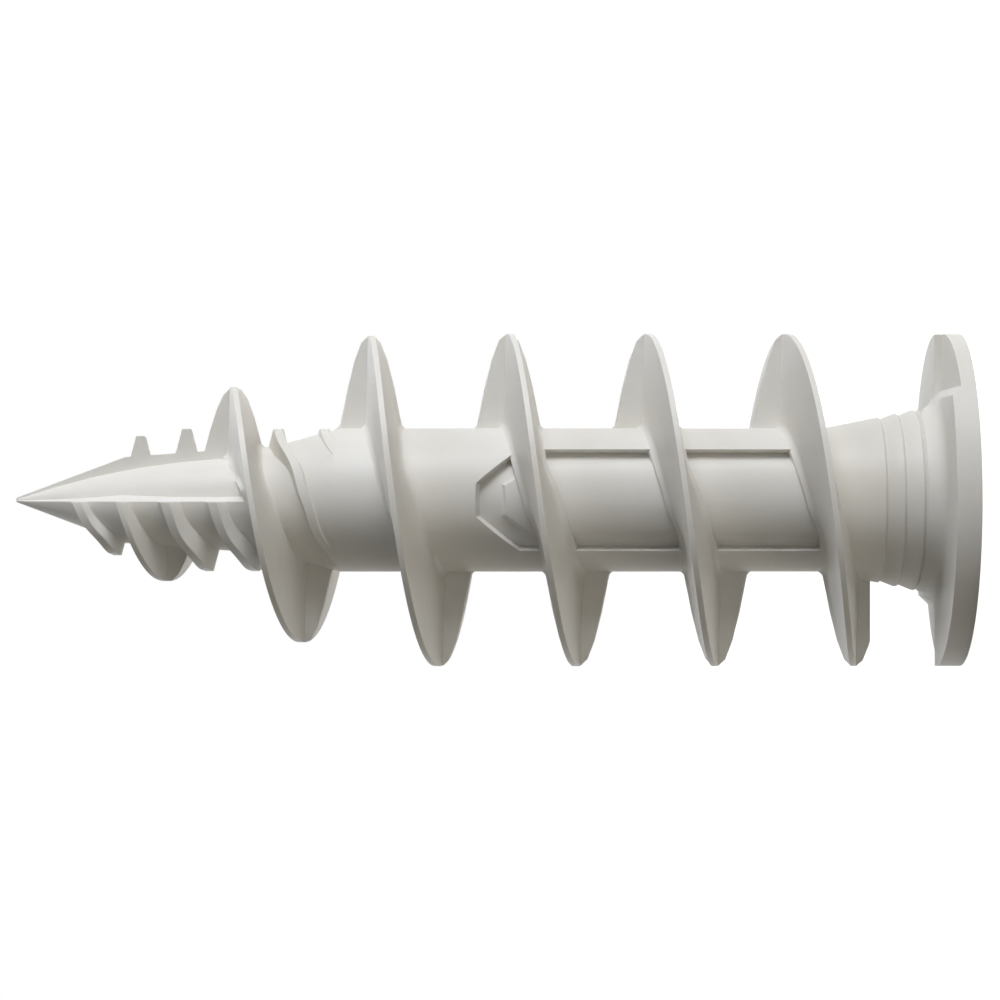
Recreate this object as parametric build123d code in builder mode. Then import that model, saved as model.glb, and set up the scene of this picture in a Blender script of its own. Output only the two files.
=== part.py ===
"""Insulation anchor: a screw-in nylon anchor for foam board, injection-moulded in one piece.

The axis is Z. The flange's outer face is the plane z = 0 and the point is at the top. The mould
opens along Y, so its parting plane is y = 0. The half on the -Y side and the half on the +Y side
are the same forms turned by 180 degrees about the axis, apart from the threads that wind past both.
"""
from build123d import *

import os
from math import asin, atan2, ceil, cos, degrees, hypot, radians, sin, sqrt, tan

# Lengths in millimetres, angles in degrees.

# Flange: one segment of each half is thinner, behind a sloped ledge parallel to the mould's pull
FLANGE_RADIUS = 9.6
FLANGE_THICK = 1.36
FLANGE_THIN = 0.96
LEDGE_PLACE = 5.92

# Neck between flange and shank, with barbs that bite in the hole's edge
NECK_ANGLE = 11.3
NECK_FILLET = 1.0
BARB_COUNT = 3
BARB_PITCH = 1.04
BARB_TOP = 4.68
BARB_STEP = 0.11
BARB_LEAN = 0.1
BARB_LAND = 0.15

# Core: the shank ends in a short cone, then comes a slender body, then the point's cone up to the tip
LENGTH = 54.6
SHANK_RADIUS = 4.15
SHANK_START = 7.9
STEP_LENGTH = 3.7
BODY_RADIUS = 3.13
BODY_LENGTH = 8.75
POINT_RADIUS = 2.5
POINT_LENGTH = 6.35
TIP_RADIUS = 0.16
POINT_START = LENGTH - POINT_LENGTH
BODY_START = POINT_START - BODY_LENGTH
SHANK_END = BODY_START - STEP_LENGTH

# Flight, the large thread, from a lip on the point to a plane that ends it by the head
LEAD = 8.0
FLIGHT_RADIUS = 9.6
FLIGHT_CREST = 0.32
FLIGHT_END = 5.1
FLIGHT_TAPER = 24.0
FLIGHT_TAPER_LENGTH = 22.2
FLIGHT_TAPER_BLEND = 5.2
FLANK_ANGLE = 1.1
FLANK_DRAFT = 4.8
FLANK_FLARE = 0.05
MOULD_DRAFT = 1.0
ROOT_FILLET = 0.35
ROOT_SINK = 0.07
LIP_TO_TIP = 6.55
FLIGHT_TAPER_START = LENGTH - FLIGHT_TAPER_LENGTH
FLIGHT_LIP = LENGTH - LIP_TO_TIP

# Two small threads between the turns of the flight, on the point
THREAD_CREST = 0.5
THREAD_HEIGHT = 0.88
THREAD_FLANK = 15.0
THREAD_DIP = 0.3
THREAD_DIP_END = 60.0
THREAD_FLUSH = 0.03
THREAD_TO_TIP = 3.6
THREAD_LIPS = (FLIGHT_LIP - LEAD / 3, FLIGHT_LIP + LEAD / 3)
THREAD_TOP = LENGTH - THREAD_TO_TIP

# Relief of the point: in each half, the quadrant past the threads' lip is set back to a slim ogive
RELIEF_LENGTH = 14.1
RELIEF_RADIUS = 2.43
RAMP_ANGLE = 25.0
RAMP_DROP = 0.085
LIP_DROP = 0.125
RELIEF_START = LENGTH - RELIEF_LENGTH

# Pocket with a low tongue on each side of the shank, each outlined in the plane that touches it
POCKET_END = 27.8
POCKET_END_WIDTH = 1.94
POCKET_WIDTH = 6.54
POCKET_CORNER = 2.3
POCKET_DEPTH = 0.55
POCKET_WALL_ANGLE = 19.0
TONGUE_END = 26.1
TONGUE_END_WIDTH = 1.56
TONGUE_WIDTH = 3.32
TONGUE_CORNER = 1.57
TONGUE_HEIGHT = 0.25
TONGUE_SIDE_ANGLE = 30.0

# Drive recess and screw bore
DRIVE_ACROSS_LOBES = 5.6
DRIVE_ACROSS_FLUTES = 3.95
DRIVE_FLUTE_RADIUS = 1.2
DRIVE_DEPTH = 7.0
BORE_RADIUS = 1.75
BORE_TO_TIP = 14.6
DRILL_ANGLE = 30.0
BORE_END = LENGTH - BORE_TO_TIP

# How far an added form reaches into the core, and a cutter past the surface
SINK = 0.35
CLEAR = 1.0

# Stations of a half turn, in degrees from the parting plane; up to WALL_STATION flanks follow the pull
STATIONS = range(0, 181, 15)
WALL_STATION = 60
SIDE_STRIPS = 4
ROOT_STRIPS = 3
OGIVE_STRIPS = 6

NEAR = 1
FAR = -1


def neck_radius(height):
    """Radius of the cone that carries the barbs, between flange and shank."""
    return SHANK_RADIUS + max(SHANK_START - height, 0) * tan(radians(NECK_ANGLE))


def point_angle():
    """Half angle of the point's cone, which touches the rounded tip."""
    rise = LENGTH - TIP_RADIUS - POINT_START
    return degrees(atan2(POINT_RADIUS, rise) - asin(TIP_RADIUS / hypot(POINT_RADIUS, rise)))


def core_corners():
    """Corners of the core as (radius, height), from the point's base down to the shank's foot."""
    return [
        (POINT_RADIUS, POINT_START),
        (BODY_RADIUS, BODY_START),
        (SHANK_RADIUS, SHANK_END),
        (SHANK_RADIUS, SHANK_START),
    ]


def core_radius(height):
    """Radius of the plain core at a height between the flange and the tip."""
    if height >= POINT_START:
        return POINT_RADIUS - (height - POINT_START) * tan(radians(point_angle()))
    corners = core_corners()
    for (upper_radius, upper), (lower_radius, lower) in zip(corners, corners[1:]):
        if lower <= height <= upper:
            return lower_radius + (upper_radius - lower_radius) * (height - lower) / (upper - lower)
    return neck_radius(height)


def relief_radius(height):
    """Radius of the slim ogive, an arc that starts parallel to the axis and ends at the tip."""
    run = LENGTH - RELIEF_START
    arc = (run**2 + RELIEF_RADIUS**2) / (2 * RELIEF_RADIUS)
    return RELIEF_RADIUS - arc + sqrt(arc**2 - (height - RELIEF_START) ** 2)


def base_radius(height):
    """Radius that the flight's root fillets are shaped to: the ogive's above the relief's start."""
    return relief_radius(height) if height > RELIEF_START else core_radius(height)


def barb_corners():
    """Corners of the barbs as (radius, height), from the top one down to the neck's foot."""
    corners = []
    for index in range(BARB_COUNT):
        top = BARB_TOP - index * BARB_PITCH
        land = neck_radius(top)
        corners += [(land, top), (land - BARB_STEP, top - BARB_LEAN)]
        corners.append((neck_radius(top - BARB_PITCH), top - BARB_PITCH + BARB_LAND))
    return corners[:-1]


def flight_radius(height):
    """Crest radius of the flight: full on the shank, then a cone with a smooth start."""
    run = max(height - FLIGHT_TAPER_START, 0)
    blend = min(run, FLIGHT_TAPER_BLEND)
    slope = tan(radians(FLIGHT_TAPER))
    return FLIGHT_RADIUS - slope * (blend**2 / (2 * FLIGHT_TAPER_BLEND) + run - blend)


def thread_radius(height):
    """Crest radius of the small threads: parallel to the point's cone, up to the shank."""
    cone = POINT_RADIUS + (POINT_START - height) * tan(radians(point_angle()))
    return min(cone + THREAD_HEIGHT, SHANK_RADIUS - THREAD_FLUSH)


def section_plane(azimuth):
    """Half-plane through the axis: its X is the radius and its Y is the height."""
    turn = radians(azimuth)
    return Plane(origin=(0, 0, 0), x_dir=(cos(turn), sin(turn), 0), z_dir=(sin(turn), -cos(turn), 0))


def side_plane(half):
    """Parting plane seen from one half: its Y is the height and its normal points out of the half."""
    return Plane(origin=(0, 0, 0), x_dir=(half, 0, 0), z_dir=(0, -half, 0))


def upright_side(centre, station, sign):
    """Flank that runs straight along the mould's pull, from the crest to the root fillet.

    Its points lie straight behind places of the crest nearer the middle of the half turn.
    """

    def point(angle):
        height = centre + sign * LEAD * (angle - station) / 360
        crest = flight_radius(height)
        radius = crest * cos(radians(angle)) / cos(radians(station))
        depth = crest * sin(radians(angle)) - radius * sin(radians(station))
        return radius, height + sign * (FLIGHT_CREST / 2 + depth * tan(radians(MOULD_DRAFT)))

    low, high = station, 90.0
    for _ in range(30):
        middle = (low + high) / 2
        radius, height = point(middle)
        if radius > base_radius(height) + ROOT_FILLET:
            low = middle
        else:
            high = middle
    return [point(station + (low - station) * step / SIDE_STRIPS) for step in range(SIDE_STRIPS + 1)]


def plain_side(centre, station, sign):
    """Flank that stands square on the core, flared to its foot and thicker where it faces the pull."""
    crest = flight_radius(centre)
    slope = tan(radians(FLANK_ANGLE)) + tan(radians(FLANK_DRAFT)) * sin(radians(station))
    foot = base_radius(centre) + ROOT_FILLET
    points = []
    for step in range(SIDE_STRIPS + 1):
        part = step / SIDE_STRIPS
        swell = (crest - foot) * part * slope + FLANK_FLARE * part**2
        points.append((crest + (foot - crest) * part, centre + sign * (FLIGHT_CREST / 2 + swell)))
    return points


def fillet_points(foot, size, sign):
    """Points of a fillet that leads from a radial flank's foot into the core, in equal strips."""
    radius, height = foot
    turns = [radians(90 * strip / ROOT_STRIPS) for strip in range(1, ROOT_STRIPS + 1)]
    return [(radius - size * sin(turn), height + sign * size * (1 - cos(turn))) for turn in turns]


def root_fillet(foot, sign):
    """Fillet from the foot of the flight's flank into the core, with its last edge under the surface."""
    points = fillet_points(foot, ROOT_FILLET, sign)
    last_radius, last_height = points[-1]
    return points[:-1] + [(last_radius - ROOT_SINK, last_height)]


def turn_starts(lip, half, low):
    """Heights where a thread's half turns begin in one half of the anchor.

    The thread crosses the near half's lip, a quarter turn after a start, at the height lip. A half
    turn counts if it ends above the height low and would cross its lip below THREAD_TOP.
    """
    first = lip - LEAD / 4 if half == NEAR else lip + LEAD / 4
    starts = [first - LEAD * turn for turn in range(-1, ceil(LENGTH / LEAD))]
    return [start for start in starts if start + LEAD / 2 > low and start + LEAD / 4 < THREAD_TOP]


def turn_azimuth(half):
    """Azimuth where the half turns of one half begin."""
    return 180 if half == NEAR else 0


def flight_turn(half, start):
    """One half turn of the flight, from a height at the parting plane to the next crossing."""
    with BuildPart() as turn:
        for station in STATIONS:
            centre = start + LEAD * station / 360
            sides = []
            for sign, run in ((1, station), (-1, 180 - station)):
                upright = run <= WALL_STATION
                side = upright_side(centre, run, sign) if upright else plain_side(centre, station, sign)
                sides.append(side + root_fillet(side[-1], sign))
            tip_side, head_side = sides
            depth = relief_radius(max(centre, RELIEF_START)) - SINK
            inner_corners = ((depth, tip_side[-1][1]), (depth, head_side[-1][1]))
            with BuildSketch(section_plane(turn_azimuth(half) + station)):
                Polygon(*tip_side, *inner_corners, *reversed(head_side), align=None)
        loft()
        if start < FLIGHT_END:
            split(bisect_by=Plane.XY.offset(FLIGHT_END), keep=Keep.TOP)
        if start + LEAD / 2 > POINT_START:
            split(bisect_by=lip_plane(half), keep=Keep.BOTTOM)
    return turn.part


def thread_dip(run):
    """How far a small thread lags behind its helix, by its run in degrees from the parting plane."""
    return THREAD_DIP * sin(radians(180) * min(run / THREAD_DIP_END, 1))


def thread_turn(half, start):
    """One half turn of a small thread, more square to the axis near the parting plane."""
    slope = tan(radians(THREAD_FLANK))
    with BuildPart() as turn:
        for station in STATIONS:
            centre = start + LEAD * station / 360 - thread_dip(station) + thread_dip(180 - station)
            crest = thread_radius(centre)
            root = min(core_radius(centre), relief_radius(max(centre, RELIEF_START))) - SINK
            half_crest = THREAD_CREST / 2
            half_root = half_crest + (crest - root) * slope
            with BuildSketch(section_plane(turn_azimuth(half) + station)):
                Polygon(
                    (crest, centre - half_crest),
                    (crest, centre + half_crest),
                    (root, centre + half_root),
                    (root, centre - half_root),
                    align=None,
                )
        loft()
        if start + LEAD / 4 > RELIEF_START:
            split(bisect_by=lip_plane(half), keep=Keep.BOTTOM)
    return turn.part


def lip_plane(half):
    """Plane of the lip where the threads end on the point, parallel to the mould's pull."""
    return Plane(origin=(-half * LIP_DROP, 0, 0), x_dir=(0, 1, 0), z_dir=(half, 0, 0))


def ramp_plane(half, cone_angle):
    """Plane of the ramp from the ogive up to the lip, on a stretch of the core with this half angle."""
    lean = radians(cone_angle)
    rise = radians(RAMP_ANGLE)
    return Plane(
        origin=(-half * RAMP_DROP, -half * POINT_RADIUS, POINT_START),
        x_dir=(0, half * sin(lean), cos(lean)),
        z_dir=(half * cos(rise), -half * cos(lean) * sin(rise), sin(lean) * sin(rise)),
    )


def relieved_point(half):
    """The point of one half: the core up to the ramps, and the slim ogive past them."""
    body_angle = degrees(atan2(BODY_RADIUS - POINT_RADIUS, BODY_LENGTH))
    heights = [RELIEF_START + RELIEF_LENGTH * strip / OGIVE_STRIPS for strip in range(OGIVE_STRIPS)]
    foot = RELIEF_START - SINK
    with BuildPart() as point:
        add(core.part)
        split(bisect_by=Plane.XY.offset(RELIEF_START), keep=Keep.TOP)
        split(bisect_by=ramp_plane(half, body_angle), keep=Keep.BOTTOM)
        split(bisect_by=ramp_plane(half, point_angle()), keep=Keep.BOTTOM)
        with BuildSketch(Plane.XZ):
            ogive = [(relief_radius(height), height) for height in heights]
            Polygon((0, LENGTH), (0, foot), (RELIEF_RADIUS, foot), *ogive, align=None)
        revolve(axis=Axis.Z)
    return point.part


def pocket_cutter(half):
    """Shallow pocket with a floor round the axis, less the low tongue that stands on the floor."""
    first_turn = min(start for start in turn_starts(FLIGHT_LIP, half, FLIGHT_END) if start > FLIGHT_END)
    lower = first_turn + LEAD / 4
    slant = LEAD / (2 * SHANK_RADIUS * radians(180))
    floor = SHANK_RADIUS - POCKET_DEPTH
    tongue_top = floor + TONGUE_HEIGHT

    def outline(foot, end, end_width, width, corner):
        side, tip = width / 2, end_width / 2
        return [
            (-side, foot - side * slant),
            (side, foot + side * slant),
            (side, end - corner),
            (tip, end),
            (-tip, end),
            (-side, end - corner),
        ]

    tongue_outline = outline(lower - CLEAR, TONGUE_END, TONGUE_END_WIDTH, TONGUE_WIDTH, TONGUE_CORNER)
    pocket_outline = outline(lower, POCKET_END, POCKET_END_WIDTH, POCKET_WIDTH, POCKET_CORNER)
    with BuildPart() as tongue:
        with BuildSketch(side_plane(half).offset(tongue_top)):
            Polygon(*tongue_outline, align=None)
        extrude(amount=-tongue_top / 2, taper=-TONGUE_SIDE_ANGLE)
        with BuildSketch(Plane.XY):
            Circle(tongue_top)
        extrude(amount=SHANK_END, mode=Mode.INTERSECT)
    with BuildPart() as pocket:
        with BuildSketch(side_plane(half).offset(SHANK_RADIUS)):
            Polygon(*pocket_outline, align=None)
        extrude(amount=-SHANK_RADIUS / 2, taper=POCKET_WALL_ANGLE)
        with BuildSketch(Plane.XY):
            Circle(floor)
        extrude(amount=SHANK_END, mode=Mode.SUBTRACT)
        add(tongue.part, mode=Mode.SUBTRACT)
    return pocket.part


def ledge_cutter(half):
    """Room over the thin segment of the flange, lower towards the rim by the mould's draft."""
    step = FLANGE_THICK - FLANGE_THIN
    reach = FLANGE_RADIUS + CLEAR
    with BuildPart() as cutter:
        for distance in (0, reach):
            drop = distance * tan(radians(MOULD_DRAFT))
            with BuildSketch(side_plane(half).offset(distance)):
                Polygon(
                    (LEDGE_PLACE - drop - CLEAR, FLANGE_THICK + CLEAR),
                    (LEDGE_PLACE + step, FLANGE_THIN - drop),
                    (reach, FLANGE_THIN - drop),
                    (reach, FLANGE_THICK + CLEAR),
                    align=None,
                )
        loft()
    return cutter.part


with BuildPart() as core:
    with BuildSketch(Plane.XZ):
        with BuildLine():
            tangent = point_angle()
            tip_centre = LENGTH - TIP_RADIUS
            cone_top = (TIP_RADIUS * cos(radians(tangent)), tip_centre + TIP_RADIUS * sin(radians(tangent)))
            fillet_top = FLANGE_THICK + NECK_FILLET
            fillet_end = (neck_radius(fillet_top) + NECK_FILLET, FLANGE_THICK)
            neck_fillet = [fillet_end] + fillet_points(fillet_end, NECK_FILLET, 1)
            CenterArc((0, tip_centre), TIP_RADIUS, tangent, 90 - tangent)
            Polyline(cone_top, *core_corners(), *barb_corners(), *reversed(neck_fillet))
            Polyline(fillet_end, (fillet_end[0], 0), (0, 0), (0, LENGTH))
        make_face()
    revolve(axis=Axis.Z)


def half_body(half):
    """All that one half of the mould forms, closed by a flat face in the parting plane."""
    with BuildPart() as side:
        add(core.part)
        split(bisect_by=Plane.XY.offset(RELIEF_START), keep=Keep.BOTTOM)
        add(relieved_point(half))
        split(bisect_by=side_plane(half), keep=Keep.TOP)
        add(pocket_cutter(half), mode=Mode.SUBTRACT)

        # Half of the flange, with its thin segment
        with BuildSketch(Plane.XY):
            Circle(FLANGE_RADIUS)
        extrude(amount=FLANGE_THICK)
        split(bisect_by=side_plane(half), keep=Keep.TOP)
        add(ledge_cutter(half), mode=Mode.SUBTRACT)

        # Threads
        for lip in THREAD_LIPS:
            for start in turn_starts(lip, half, SHANK_END):
                add(thread_turn(half, start))
        for start in turn_starts(FLIGHT_LIP, half, FLIGHT_END):
            add(flight_turn(half, start))
    return side.part


with BuildPart() as anchor_body:
    add(half_body(NEAR))
    add(half_body(FAR))

    # Screw bore with a drilled end, along the axis
    with BuildSketch(Plane.XZ):
        bore_tip = BORE_END + BORE_RADIUS * tan(radians(DRILL_ANGLE))
        Polygon((0, 0), (BORE_RADIUS, 0), (BORE_RADIUS, BORE_END), (0, bore_tip), align=None)
    revolve(axis=Axis.Z, mode=Mode.SUBTRACT)

    # Six-lobe drive recess
    with BuildSketch(Plane.XY):
        Circle(DRIVE_ACROSS_LOBES / 2)
        with PolarLocations(DRIVE_ACROSS_FLUTES / 2 + DRIVE_FLUTE_RADIUS, 6):
            Circle(DRIVE_FLUTE_RADIUS, mode=Mode.SUBTRACT)
    extrude(amount=DRIVE_DEPTH, mode=Mode.SUBTRACT)

anchor_body.part.label = "anchor_body"
os.makedirs("parts", exist_ok=True)
export_step(anchor_body.part, "parts/anchor_body.step")
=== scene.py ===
"""Looks of an insulation anchor: moulded off-white nylon, lit by soft studio lamps.

The anchor stands on its flange, so its axis is Z. The photograph shows it lying, with the point on the
left, so the camera is rolled: the image's right is -Z and its top is +X.
"""

import logging
import math
from dataclasses import dataclass, field
from enum import Enum

import bmesh
import bpy
from mathutils import Matrix, Vector


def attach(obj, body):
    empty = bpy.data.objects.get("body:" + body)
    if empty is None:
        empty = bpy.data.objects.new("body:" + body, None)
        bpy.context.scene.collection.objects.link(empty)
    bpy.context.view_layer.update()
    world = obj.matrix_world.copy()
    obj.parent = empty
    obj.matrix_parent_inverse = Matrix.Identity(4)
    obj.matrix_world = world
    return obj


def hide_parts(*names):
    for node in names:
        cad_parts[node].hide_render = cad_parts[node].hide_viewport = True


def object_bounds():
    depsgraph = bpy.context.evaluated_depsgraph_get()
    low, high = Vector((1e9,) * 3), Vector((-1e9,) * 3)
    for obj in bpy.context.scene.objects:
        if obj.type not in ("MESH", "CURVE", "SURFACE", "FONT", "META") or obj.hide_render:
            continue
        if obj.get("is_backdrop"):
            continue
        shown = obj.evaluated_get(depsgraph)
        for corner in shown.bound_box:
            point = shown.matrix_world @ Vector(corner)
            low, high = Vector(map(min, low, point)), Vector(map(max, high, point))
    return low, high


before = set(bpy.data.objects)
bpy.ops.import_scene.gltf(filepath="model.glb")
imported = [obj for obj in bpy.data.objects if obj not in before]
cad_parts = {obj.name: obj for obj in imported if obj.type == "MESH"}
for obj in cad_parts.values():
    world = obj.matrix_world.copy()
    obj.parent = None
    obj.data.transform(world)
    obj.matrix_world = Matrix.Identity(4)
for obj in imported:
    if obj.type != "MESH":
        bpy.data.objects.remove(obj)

LOG = logging.getLogger("insulation_anchor")
MILLIMETRE = 0.001
WHITE = (1.0, 1.0, 1.0, 1.0)
COOL = (0.965, 0.99, 1.05)
WARM = (1.05, 1.0, 0.88)
# A lamp of this many watts, one metre off, lights a white surface so that it just shows white.
WATTS_FOR_WHITE = math.pi**2


class Ray(Enum):
    """Kinds of ray, by the Light Path output that tells them, which see the white backdrop."""

    CAMERA = "Is Camera Ray"
    GLOSSY = "Is Glossy Ray"
    TRANSMISSION = "Is Transmission Ray"


def input_node(tree: bpy.types.NodeTree, kind: str, **settings: object) -> bpy.types.Node:
    """Adds a shader node.

    Args:
        tree: The node tree that gets the node.
        kind: Blender's name for the node's type.
        settings: Properties of the node, or default values of its inputs with spaces as underscores.

    Returns:
        The new node.
    """
    node = tree.nodes.new(kind)
    for name, value in settings.items():
        if hasattr(node, name):
            setattr(node, name, value)
        else:
            node.inputs[name.replace("_", " ")].default_value = value
    return node


def empty_material(name: str) -> bpy.types.Material:
    """Makes a material whose node tree is still empty.

    Args:
        name: Name of the material.

    Returns:
        The material.
    """
    material = bpy.data.materials.new(name)
    material.use_nodes = True
    material.node_tree.nodes.clear()
    return material


def seen_directly(tree: bpy.types.NodeTree) -> bpy.types.NodeSocket:
    """Adds nodes that tell camera, glossy and transmission rays from all others.

    Args:
        tree: The node tree that gets the nodes.

    Returns:
        A socket that is 1 for those rays and 0 for others.
    """
    path = input_node(tree, "ShaderNodeLightPath")
    found = path.outputs[Ray.CAMERA.value]
    for ray in (Ray.GLOSSY, Ray.TRANSMISSION):
        larger = input_node(tree, "ShaderNodeMath", operation="MAXIMUM")
        tree.links.new(found, larger.inputs[0])
        tree.links.new(path.outputs[ray.value], larger.inputs[1])
        found = larger.outputs["Value"]
    return found


@dataclass(frozen=True)
class MouldedNylon:
    """Off-white nylon as it comes from the mould: matt grain, faint flow streaks, worn-in soft edges.

    Args:
        name: Name of the material.
        colour: Base colour, linear.
        streak_colour: Base colour where the flow left it a little darker and warmer.
        streak_size: Width of a flow streak, in metres.
        streak_stretch: Scale of the streaks along X, Y and Z, where less than 1 draws them out.
        streak_detail: Octaves in the streaks' pattern.
        streak_range: Pattern values at which a streak begins and is at its full colour.
        roughness: Mean roughness.
        sheen: Strength of the mirror part of the surface, where 0.5 is a polished one.
        refraction: Nylon's index of refraction.
        translucency: Share of the light that goes in and comes out beside where it went in.
        scatter_reach: How far red, green and blue light travel inside, against each other.
        scatter_depth: How far the light travels inside, in metres.
        edge_radius: Radius of the rounding that the light sees on every edge, in metres.
        edge_samples: Rays that each shaded point spends on finding that rounding.
        grain_size: Width of one grain of the mould's texture, in metres.
        grain_detail: Octaves in the grain's pattern.
        grain_height: Height of the grain, in metres.
        grain_strength: How much of that height the light sees.
    """

    name: str = "moulded_nylon"
    colour: tuple[float, float, float, float] = (0.795, 0.78, 0.735, 1.0)
    streak_colour: tuple[float, float, float, float] = (0.75, 0.72, 0.655, 1.0)
    streak_size: float = 6.0 * MILLIMETRE
    streak_stretch: tuple[float, float, float] = (1.0, 1.0, 0.35)
    streak_detail: float = 5.0
    streak_range: tuple[float, float] = (0.45, 0.8)
    roughness: float = 0.46
    sheen: float = 0.3
    refraction: float = 1.53
    translucency: float = 0.15
    scatter_reach: tuple[float, float, float] = (1.0, 0.85, 0.65)
    scatter_depth: float = 0.4 * MILLIMETRE
    edge_radius: float = 0.05 * MILLIMETRE
    edge_samples: int = 4
    grain_size: float = 0.12 * MILLIMETRE
    grain_detail: float = 2.0
    grain_height: float = 0.02 * MILLIMETRE
    grain_strength: float = 0.2

    def add_streaks(self, tree: bpy.types.NodeTree, place: bpy.types.NodeSocket) -> bpy.types.NodeSocket:
        """Adds the colour streaks that the flow into the mould left.

        Args:
            tree: The material's node tree.
            place: Object coordinates.

        Returns:
            The colour.
        """
        begin, full = self.streak_range
        stretch = input_node(tree, "ShaderNodeMapping", Scale=self.streak_stretch)
        streaks = input_node(
            tree, "ShaderNodeTexNoise", Scale=1 / self.streak_size, Detail=self.streak_detail
        )
        contrast = input_node(tree, "ShaderNodeMapRange", From_Min=begin, From_Max=full)
        blend = input_node(tree, "ShaderNodeMix", data_type="RGBA")
        colour_inputs = [socket for socket in blend.inputs if socket.type == "RGBA"]
        colour_inputs[0].default_value = self.colour
        colour_inputs[1].default_value = self.streak_colour
        tree.links.new(place, stretch.inputs["Vector"])
        tree.links.new(stretch.outputs["Vector"], streaks.inputs["Vector"])
        tree.links.new(streaks.outputs["Fac"], contrast.inputs["Value"])
        tree.links.new(contrast.outputs["Result"], blend.inputs["Factor"])
        return next(socket for socket in blend.outputs if socket.type == "RGBA")

    def add_grain(self, tree: bpy.types.NodeTree, place: bpy.types.NodeSocket) -> bpy.types.NodeSocket:
        """Adds the mould's grain on top of the rounded edges.

        Args:
            tree: The material's node tree.
            place: Object coordinates.

        Returns:
            The surface normal.
        """
        edges = input_node(tree, "ShaderNodeBevel", samples=self.edge_samples, Radius=self.edge_radius)
        grain = input_node(tree, "ShaderNodeTexNoise", Scale=1 / self.grain_size, Detail=self.grain_detail)
        bump = input_node(
            tree, "ShaderNodeBump", Strength=self.grain_strength, Distance=self.grain_height
        )
        tree.links.new(place, grain.inputs["Vector"])
        tree.links.new(grain.outputs["Fac"], bump.inputs["Height"])
        tree.links.new(edges.outputs["Normal"], bump.inputs["Normal"])
        return bump.outputs["Normal"]

    def build(self) -> bpy.types.Material:
        """Makes the material.

        Returns:
            A material whose patterns lie on the piece's own Object coordinates.
        """
        material = empty_material(self.name)
        tree = material.node_tree
        place = input_node(tree, "ShaderNodeTexCoord").outputs["Object"]
        output = input_node(tree, "ShaderNodeOutputMaterial")
        shader = input_node(
            tree,
            "ShaderNodeBsdfPrincipled",
            Roughness=self.roughness,
            IOR=self.refraction,
            Specular_IOR_Level=self.sheen,
            Subsurface_Weight=self.translucency,
            Subsurface_Radius=self.scatter_reach,
            Subsurface_Scale=self.scatter_depth,
        )
        tree.links.new(shader.outputs["BSDF"], output.inputs["Surface"])
        tree.links.new(self.add_streaks(tree, place), shader.inputs["Base Color"])
        tree.links.new(self.add_grain(tree, place), shader.inputs["Normal"])
        return material


@dataclass(frozen=True)
class WhiteBackdrop:
    """A pale floor that looks white to the camera and still shows a shadow.

    Args:
        name: Name of the material.
        colour: How much of the light the floor throws back.
        glow: Strength that directly seen places add to that by the object, where its shadow falls.
        near: The glow starts to rise this far from the object, in metres.
        far: Past this distance, in metres, the glow alone is white.
    """

    name: str = "white_backdrop"
    colour: tuple[float, float, float, float] = (0.60, 0.555, 0.47, 1.0)
    glow: float = 0.88
    near: float = 0.04
    far: float = 0.40

    def add_glow(self, tree: bpy.types.NodeTree) -> bpy.types.NodeSocket:
        """Adds the light that directly seen places show, which grows away from the object.

        Args:
            tree: The material's node tree.

        Returns:
            The emission.
        """
        place = input_node(tree, "ShaderNodeTexCoord")
        distance = input_node(tree, "ShaderNodeVectorMath", operation="LENGTH")
        spread = input_node(
            tree, "ShaderNodeMapRange", From_Min=self.near, From_Max=self.far, To_Min=self.glow, To_Max=1.0
        )
        strength = input_node(tree, "ShaderNodeMath", operation="MULTIPLY")
        glow = input_node(tree, "ShaderNodeEmission")
        tree.links.new(place.outputs["Object"], distance.inputs[0])
        tree.links.new(distance.outputs["Value"], spread.inputs["Value"])
        tree.links.new(seen_directly(tree), strength.inputs[0])
        tree.links.new(spread.outputs["Result"], strength.inputs[1])
        tree.links.new(strength.outputs["Value"], glow.inputs["Strength"])
        return glow.outputs["Emission"]

    def build(self) -> bpy.types.Material:
        """Makes the material.

        Returns:
            A material that keeps shadows and shows white around them.
        """
        material = empty_material(self.name)
        tree = material.node_tree
        output = input_node(tree, "ShaderNodeOutputMaterial")
        both = input_node(tree, "ShaderNodeAddShader")
        diffuse = input_node(tree, "ShaderNodeBsdfDiffuse", Color=self.colour)
        tree.links.new(diffuse.outputs["BSDF"], both.inputs[0])
        tree.links.new(self.add_glow(tree), both.inputs[1])
        tree.links.new(both.outputs["Shader"], output.inputs["Surface"])
        return material


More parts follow.
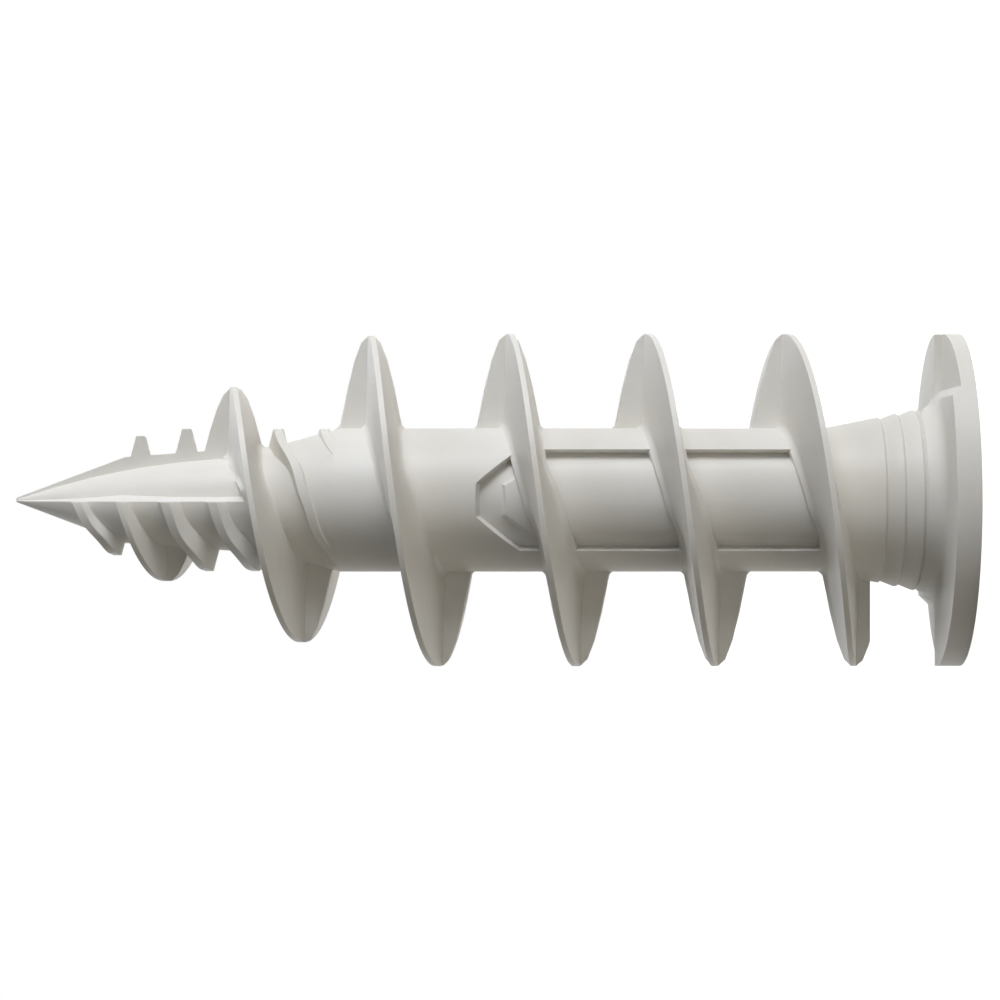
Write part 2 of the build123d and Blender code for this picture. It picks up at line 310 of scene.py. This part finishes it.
@dataclass
class AnchorBody:
    """The anchor's one moulded piece, dressed from the CAD solid.

    Args:
        node: Name of the CAD node that it stands for.
        name: Name of the piece.
        sharp_angle: Edges that turn more than this many degrees stay crisp. The fillets' strips turn 30.
        merge_distance: Corners nearer than this many metres become one.
        wide_face_weight: How far wide faces lead their narrow neighbours in the shading, 50 being neutral.
        finish: The nylon it is moulded from.
    """

    node: str = "anchor_body"
    name: str = "moulded_body"
    sharp_angle: float = 32.0
    merge_distance: float = 0.0005 * MILLIMETRE
    wide_face_weight: int = 80
    finish: MouldedNylon = field(default_factory=MouldedNylon)

    def join_triangles(self) -> bpy.types.Mesh:
        """Copies the solid's mesh, joins its loose triangles and marks the edges that stay crisp.

        Returns:
            The joined mesh.
        """
        shape = bmesh.new()
        shape.from_mesh(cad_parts[self.node].data)
        bmesh.ops.remove_doubles(shape, verts=shape.verts, dist=self.merge_distance)
        limit = math.radians(self.sharp_angle)
        for edge in shape.edges:
            edge.smooth = edge.is_manifold and edge.calc_face_angle() < limit
        for face in shape.faces:
            face.smooth = True
        mesh = bpy.data.meshes.new(self.name)
        shape.to_mesh(mesh)
        shape.free()
        return mesh

    def build(self) -> bpy.types.Object:
        """Makes the piece and shades it smoothly between its crisp edges.

        Returns:
            The piece, on the root body.
        """
        mesh = self.join_triangles()
        mesh.materials.clear()
        mesh.materials.append(self.finish.build())
        piece = bpy.data.objects.new(self.name, mesh)
        bpy.context.scene.collection.objects.link(piece)
        normals = piece.modifiers.new("wide_faces_first", "WEIGHTED_NORMAL")
        normals.keep_sharp = True
        normals.weight = self.wide_face_weight
        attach(piece, "root")
        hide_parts(self.node)
        LOG.info("%s: %d triangles", self.name, len(mesh.polygons))
        return piece


@dataclass
class SoftBox:
    """A square studio lamp.

    Args:
        name: Name of the lamp.
        place: Centre of the lamp, in metres.
        width: Side of the square, in metres.
        level: Light on a surface that faces the lamp, where 1 shows white as white.
        colour: Colour of the light.
    """

    name: str
    place: tuple[float, float, float]
    width: float
    level: float
    colour: tuple[float, float, float] = COOL

    def build(self, target: Vector) -> bpy.types.Object:
        """Makes the lamp and aims it.

        Args:
            target: The point that it faces.

        Returns:
            The lamp.
        """
        aim = target - Vector(self.place)
        lamp = bpy.data.lights.new(self.name, "AREA")
        lamp.shape = "SQUARE"
        lamp.size = self.width
        lamp.color = self.colour
        lamp.energy = self.level * WATTS_FOR_WHITE * aim.length_squared
        holder = bpy.data.objects.new(self.name, lamp)
        holder.location = self.place
        holder.rotation_euler = aim.to_track_quat("-Z", "Y").to_euler()
        bpy.context.scene.collection.objects.link(holder)
        LOG.info("%s lit", self.name)
        return holder


@dataclass
class Studio:
    """Floor, backdrop, lamps and the photograph's camera.

    Args:
        ambient: Light from all round, where 1 shows white as white.
        floor_width: Side of the floor, in metres.
        eye: Place of the camera, in metres.
        lens: Focal length, in millimetres.
        sensor: Width of the camera's sensor, in millimetres.
        shift: How far the frame's middle lies from the camera's axis, in frame widths.
        nearest: The camera sees nothing nearer than this many metres.
        lamps: The lamps.
    """

    ambient: float = 0.02
    floor_width: float = 3.0
    eye: tuple[float, float, float] = (0.0, -0.1530, 0.02133)
    lens: float = 95.04
    sensor: float = 36.0
    shift: float = -0.09
    nearest: float = 0.01
    lamps: list[SoftBox] = field(
        default_factory=lambda: [
            SoftBox("key_softbox", (0.315, -0.16, 0.055), 0.16, 0.75),
            SoftBox("tip_softbox", (0.19, -0.10, 0.31), 0.30, 0.36),
            SoftBox("back_softbox", (-0.05, 0.12, 0.36), 0.30, 0.44),
            SoftBox("low_rim_light", (-0.26, 0.20, 0.05), 0.30, 0.06, WARM),
        ]
    )

    def build_floor(self) -> bpy.types.Object:
        """Makes the floor that the flange stands on.

        Returns:
            The floor.
        """
        shape = bmesh.new()
        bmesh.ops.create_grid(shape, x_segments=1, y_segments=1, size=self.floor_width / 2)
        mesh = bpy.data.meshes.new("floor")
        shape.to_mesh(mesh)
        shape.free()
        mesh.materials.append(WhiteBackdrop().build())
        floor = bpy.data.objects.new("floor", mesh)
        bpy.context.scene.collection.objects.link(floor)
        floor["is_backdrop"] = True
        return floor

    def build_world(self) -> bpy.types.World:
        """Makes the world, white where it is seen directly and a soft ambient light elsewhere.

        Returns:
            The world.
        """
        world = bpy.data.worlds.new("studio")
        bpy.context.scene.world = world
        world.use_nodes = True
        tree = world.node_tree
        tree.nodes.clear()
        output = input_node(tree, "ShaderNodeOutputWorld")
        glow = input_node(tree, "ShaderNodeBackground", Color=WHITE)
        level = input_node(tree, "ShaderNodeMapRange", To_Min=self.ambient, To_Max=1.0)
        tree.links.new(seen_directly(tree), level.inputs["Value"])
        tree.links.new(level.outputs["Result"], glow.inputs["Strength"])
        tree.links.new(glow.outputs["Background"], output.inputs["Surface"])
        return world

    def build_camera(self) -> bpy.types.Object:
        """Makes the photograph's camera, level with the anchor's axis and rolled a quarter turn.

        Returns:
            The camera.
        """
        lens = bpy.data.cameras.new("photograph")
        lens.lens = self.lens
        lens.sensor_width = self.sensor
        lens.shift_x = self.shift
        lens.clip_start = self.nearest
        right, up, back = Vector((0, 0, -1)), Vector((1, 0, 0)), Vector((0, -1, 0))
        turn = Matrix((right, up, back)).transposed().to_4x4()
        camera = bpy.data.objects.new("photograph", lens)
        camera.matrix_world = Matrix.Translation(self.eye) @ turn
        bpy.context.scene.collection.objects.link(camera)
        bpy.context.scene.camera = camera
        return camera

    def build(self) -> None:
        """Builds the whole studio around the anchor."""
        low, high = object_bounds()
        self.build_floor()
        self.build_world()
        self.build_camera()
        for lamp in self.lamps:
            lamp.build((low + high) / 2)


def main() -> None:
    """Builds the anchor and its studio."""
    logging.basicConfig(level=logging.INFO, format="%(name)s: %(message)s")
    bpy.context.scene.view_settings.view_transform = "Standard"
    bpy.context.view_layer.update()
    AnchorBody().build()
    Studio().build()


if __name__ == "__main__":
    main()
